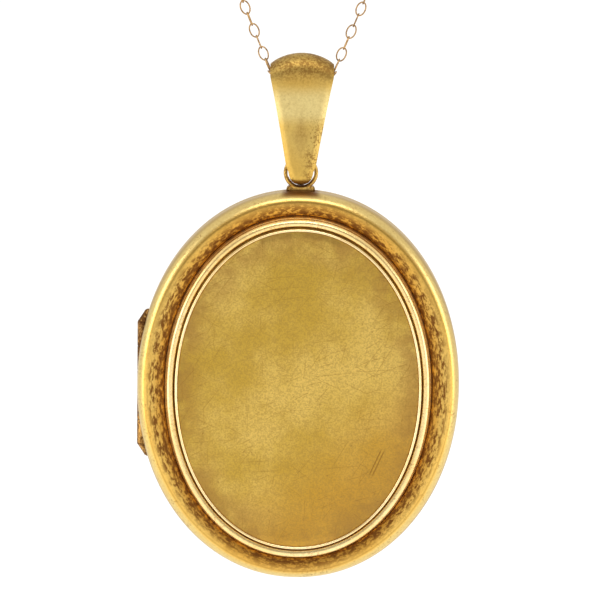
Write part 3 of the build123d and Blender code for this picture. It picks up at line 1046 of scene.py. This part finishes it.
inner_gold = gold(
    "inner_gold", (0.84, 0.60, 0.22), (0.40, 0.20, 0.07), 0.2, (0.6, 0.75, 0.4), grain=0.3, scratch=0.5
)
snap_low, snap_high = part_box("back_snap_rim")
SNAP_WALL = 0.4 * MM
SNAP_GAP = 0.06 * MM


def snap_section():
    """Straight wall with a rounded top, wider below the seam where it is soldered in."""
    outer, inner = well_size[0], well_size[0] - SNAP_WALL
    top = -snap_low.y
    face = outer - SNAP_GAP
    return [
        (outer, snap_high.y), (outer, SEAM), (face, SEAM), (face, -top + 0.12 * MM),
        (face - 0.1 * MM, -top), (inner + 0.1 * MM, -top), (inner, -top + 0.12 * MM),
        (inner, snap_high.y),
    ]


snap = oval_piece("snap_wall", snap_section(), 1, inner_gold)
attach(snap, "back_case")
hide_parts("back_snap_rim")


# ---- Picture settings -------------------------------------------------------------------------
# Inside each half a gold frame is pressed into the well. It holds a thin glass over a blank
# cream card, and a plain gold sheet closes the back of it.

FRAME_WIDTH = 2.6 * MM
FRAME_LAP = 0.5 * MM


def frame_section(half, low, high):
    """Moulded frame: flat outside, a bead, a hollow and a thin inner lip over the glass."""
    face = -high.y if half == "front" else low.y
    floor = -low.y if half == "front" else high.y
    outer = (high.x - low.x) / 2
    inner = outer - FRAME_WIDTH
    shelf = face + 0.16 * MM
    return [
        (outer, floor), (outer, face + 0.12 * MM), (outer - 0.12 * MM, face), (outer - 0.5 * MM, face),
        (outer - 0.75 * MM, face + 0.10 * MM), (outer - 1.1 * MM, face + 0.14 * MM),
        (outer - 1.5 * MM, face + 0.10 * MM), (outer - 1.7 * MM, face), (outer - 2.0 * MM, face),
        (inner + 0.05 * MM, face + 0.08 * MM), (inner, shelf),
        (inner + FRAME_LAP, shelf), (inner + FRAME_LAP, floor),
    ]


card_paper, card_tree, card_shader = principled("card")
card_point = object_point(card_tree, origin=tuple(case_centre))
fibres = noise(card_tree, card_point, 5200, 4.0, 0.65)
foxing = noise(card_tree, card_point, 300, 4.0).step(0.6, 0.78, 0.0, 0.4)
cream = mix_colour(card_tree, fibres.step(0.3, 0.7), (0.74, 0.67, 0.52), (0.82, 0.76, 0.62))
foxed = mix_colour(card_tree, foxing, cream, (0.60, 0.47, 0.30))
finish_surface(card_tree, card_shader, foxed, 0.85, fibres, metallic=0.0)

glass_clear, glass_tree, glass_shader = principled("glass")
smears = noise(glass_tree, object_point(glass_tree), 380, 4.0)
fill_inputs(glass_tree, glass_shader, {
    "Base Color": (0.90, 0.93, 0.91, 1), "Alpha": 0.16, "Roughness": smears.step(0.45, 0.8, 0.03, 0.16),
})
GLASS_AIR = 0.02 * MM


def glass_section(half, low, high):
    """A thin oval lens with eased edges, a hair clear of the card behind it."""
    near = -high.y if half == "front" else low.y
    far = (-low.y if half == "front" else high.y) - GLASS_AIR
    outer = (high.x - low.x) / 2
    face = [(k * (outer - 0.08 * MM) / 8, near) for k in range(9)]
    back = [(k * (outer - 0.08 * MM) / 8, far) for k in range(8, -1, -1)]
    return face + [(outer, near + 0.08 * MM), (outer, far - 0.08 * MM)] + back


def paint_node(node, material):
    """Gives a CAD piece that stays its own material."""
    obj = nodes[node]
    obj.data.materials.clear()
    obj.data.materials.append(material)


for half, body, facing in HALVES:
    low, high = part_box(f"{half}_photo_frame")
    frame_piece = oval_piece(f"frame_{half}", frame_section(half, low, high), facing, inner_gold)
    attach(frame_piece, body)
    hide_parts(f"{half}_photo_frame")
    low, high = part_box(f"{half}_glass")
    lens = oval_piece(f"lens_{half}", glass_section(half, low, high), facing, glass_clear)
    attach(lens, body)
    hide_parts(f"{half}_glass")
    paint_node(f"{half}_photo_card", card_paper)
    paint_node(f"{half}_frame_backing", inner_gold)


# ---- Hinge ------------------------------------------------------------------------------------
# Five barrel lengths along the left edge, three on the back and two on the cover, each with a
# tab soldered into its rim. A pin runs through them, and tapered tips close both ends.

KNUCKLE_COUNT = 5
KNUCKLE_GAP = 0.06 * MM
BARREL_RADIUS = 0.85 * MM
TAB_THICKNESS = 0.66 * MM
TAB_LENGTH = 1.3 * MM
TAB_SHIFT = 0.72 * MM
back_knuckles_low, back_knuckles_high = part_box("hinge_knuckles_back")
knuckle_pitch = (back_knuckles_high.z - back_knuckles_low.z + KNUCKLE_GAP) / KNUCKLE_COUNT


def turned_mesh(name, outline, segments=48, lean=0.0):
    """A piece turned about the hinge's line from radii and heights, closed at both ends.

    With a lean, thinner parts shift towards the case.
    """
    widest = max(radius for radius, _ in outline)
    verts, faces = [], []
    for radius, height in outline:
        for k in range(segments):
            a = 2 * math.pi * k / segments
            middle = hinge_x + lean * (widest - radius)
            verts.append((middle + radius * math.cos(a), radius * math.sin(a), case_centre.z + height))
    for i in range(len(outline) - 1):
        low, high = i * segments, (i + 1) * segments
        for k in range(segments):
            m = (k + 1) % segments
            faces.append((low + k, low + m, high + m, high + k))
    faces.append(tuple(reversed(range(segments))))
    last = (len(outline) - 1) * segments
    faces.append(tuple(range(last, last + segments)))
    mesh = bpy.data.meshes.new(name)
    mesh.from_pydata(verts, [], faces)
    return mesh


def knuckle_mesh(toward):
    """One barrel length at the middle of the hinge, with softened ends and its tab."""
    half = (knuckle_pitch - KNUCKLE_GAP) / 2
    soft = 0.06 * MM
    barrel = turned_mesh("knuckle", [
        (BARREL_RADIUS - soft, -half), (BARREL_RADIUS, -half + soft),
        (BARREL_RADIUS, half - soft), (BARREL_RADIUS - soft, half),
    ])
    work = bmesh.new()
    work.from_mesh(barrel)
    tab_middle = Vector((hinge_x + TAB_SHIFT, toward * (SEAM * 2 + TAB_THICKNESS / 2), case_centre.z))
    tab_size = Matrix.Diagonal((TAB_LENGTH, TAB_THICKNESS, 2 * half, 1))
    made = bmesh.ops.create_cube(work, size=1.0, matrix=Matrix.Translation(tab_middle) @ tab_size)
    edges = {edge for vert in made["verts"] for edge in vert.link_edges}
    bmesh.ops.bevel(work, geom=list(edges), offset=soft, segments=2, affect="EDGES")
    work.to_mesh(barrel)
    work.free()
    return barrel


def knuckle_tree():
    """Copies of one knuckle at even steps along the hinge."""
    tree, given = geometry_tree("knuckle_row", ("Count", "Step", "First"))
    step = add_node(tree, "ShaderNodeCombineXYZ", {"Z": given["Step"]})
    first = add_node(tree, "ShaderNodeCombineXYZ", {"Z": given["First"]})
    places = {"Count": given["Count"], "Offset": step, "Start Location": first}
    line = add_node(tree, "GeometryNodeMeshLine", places, mode="OFFSET")
    copies = {"Points": line, "Instance": given["Geometry"]}
    placed = add_node(tree, "GeometryNodeInstanceOnPoints", copies)
    return finish_tree(tree, given, placed)


# Painted shade with tarnish: the hinge's gold is dark brown all over, as the hinge lies in shadow behind
# the rims.
hinge_gold_shaded = gold(
    "hinge_gold_shaded", (0.48, 0.27, 0.08), (0.09, 0.035, 0.01), 0.3, (0.40, 0.58, 0.94), grain=0.6
)
knuckle_row = knuckle_tree()
for node, body, toward, count in (
    ("hinge_knuckles_back", "back_case", 1, 3), ("hinge_knuckles_front", "front_cover", -1, 2)
):
    carrier = new_object("one_knuckle", knuckle_mesh(toward))
    values = {"Count": count, "Step": 2 * knuckle_pitch, "First": -(count - 1) * knuckle_pitch}
    row = run_tree(carrier, knuckle_row, values, hinge_gold_shaded, f"knuckles_{body}")
    tidy_surface(row.data, 35)
    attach(row, body)
    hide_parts(node)

pin_low, pin_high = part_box("hinge_pin")
pin_radius = (pin_high.x - pin_low.x) / 2
pin_half = (pin_high.z - pin_low.z) / 2
PIN_EDGE = 0.08 * MM
pin = new_object("pin", turned_mesh("pin", [
    (pin_radius - PIN_EDGE, -pin_half), (pin_radius, -pin_half + PIN_EDGE),
    (pin_radius, pin_half - PIN_EDGE), (pin_radius - PIN_EDGE, pin_half),
]), hinge_gold_shaded)
tip_length = (knuckle_high.z - knuckle_low.z) / 2 - pin_half
tip_meshes = bmesh.new()
for way in (-1, 1):
    tip = turned_mesh("tip", [
        (BARREL_RADIUS * 0.97, way * pin_half), (BARREL_RADIUS, way * (pin_half + 0.05 * MM)),
        (BARREL_RADIUS * 0.62, way * (pin_half + tip_length * 0.55)),
        (0.32 * MM, way * (pin_half + tip_length * 0.92)), (0.2 * MM, way * (pin_half + tip_length)),
    ], lean=0.85)
    tip_meshes.from_mesh(tip)
tips = new_object("tips", made_mesh(tip_meshes, "tips"), hinge_gold_shaded)
for piece in (pin, tips):
    tidy_surface(piece.data, 40)
    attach(piece, "back_case")
    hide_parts(f"hinge_{piece.name}")
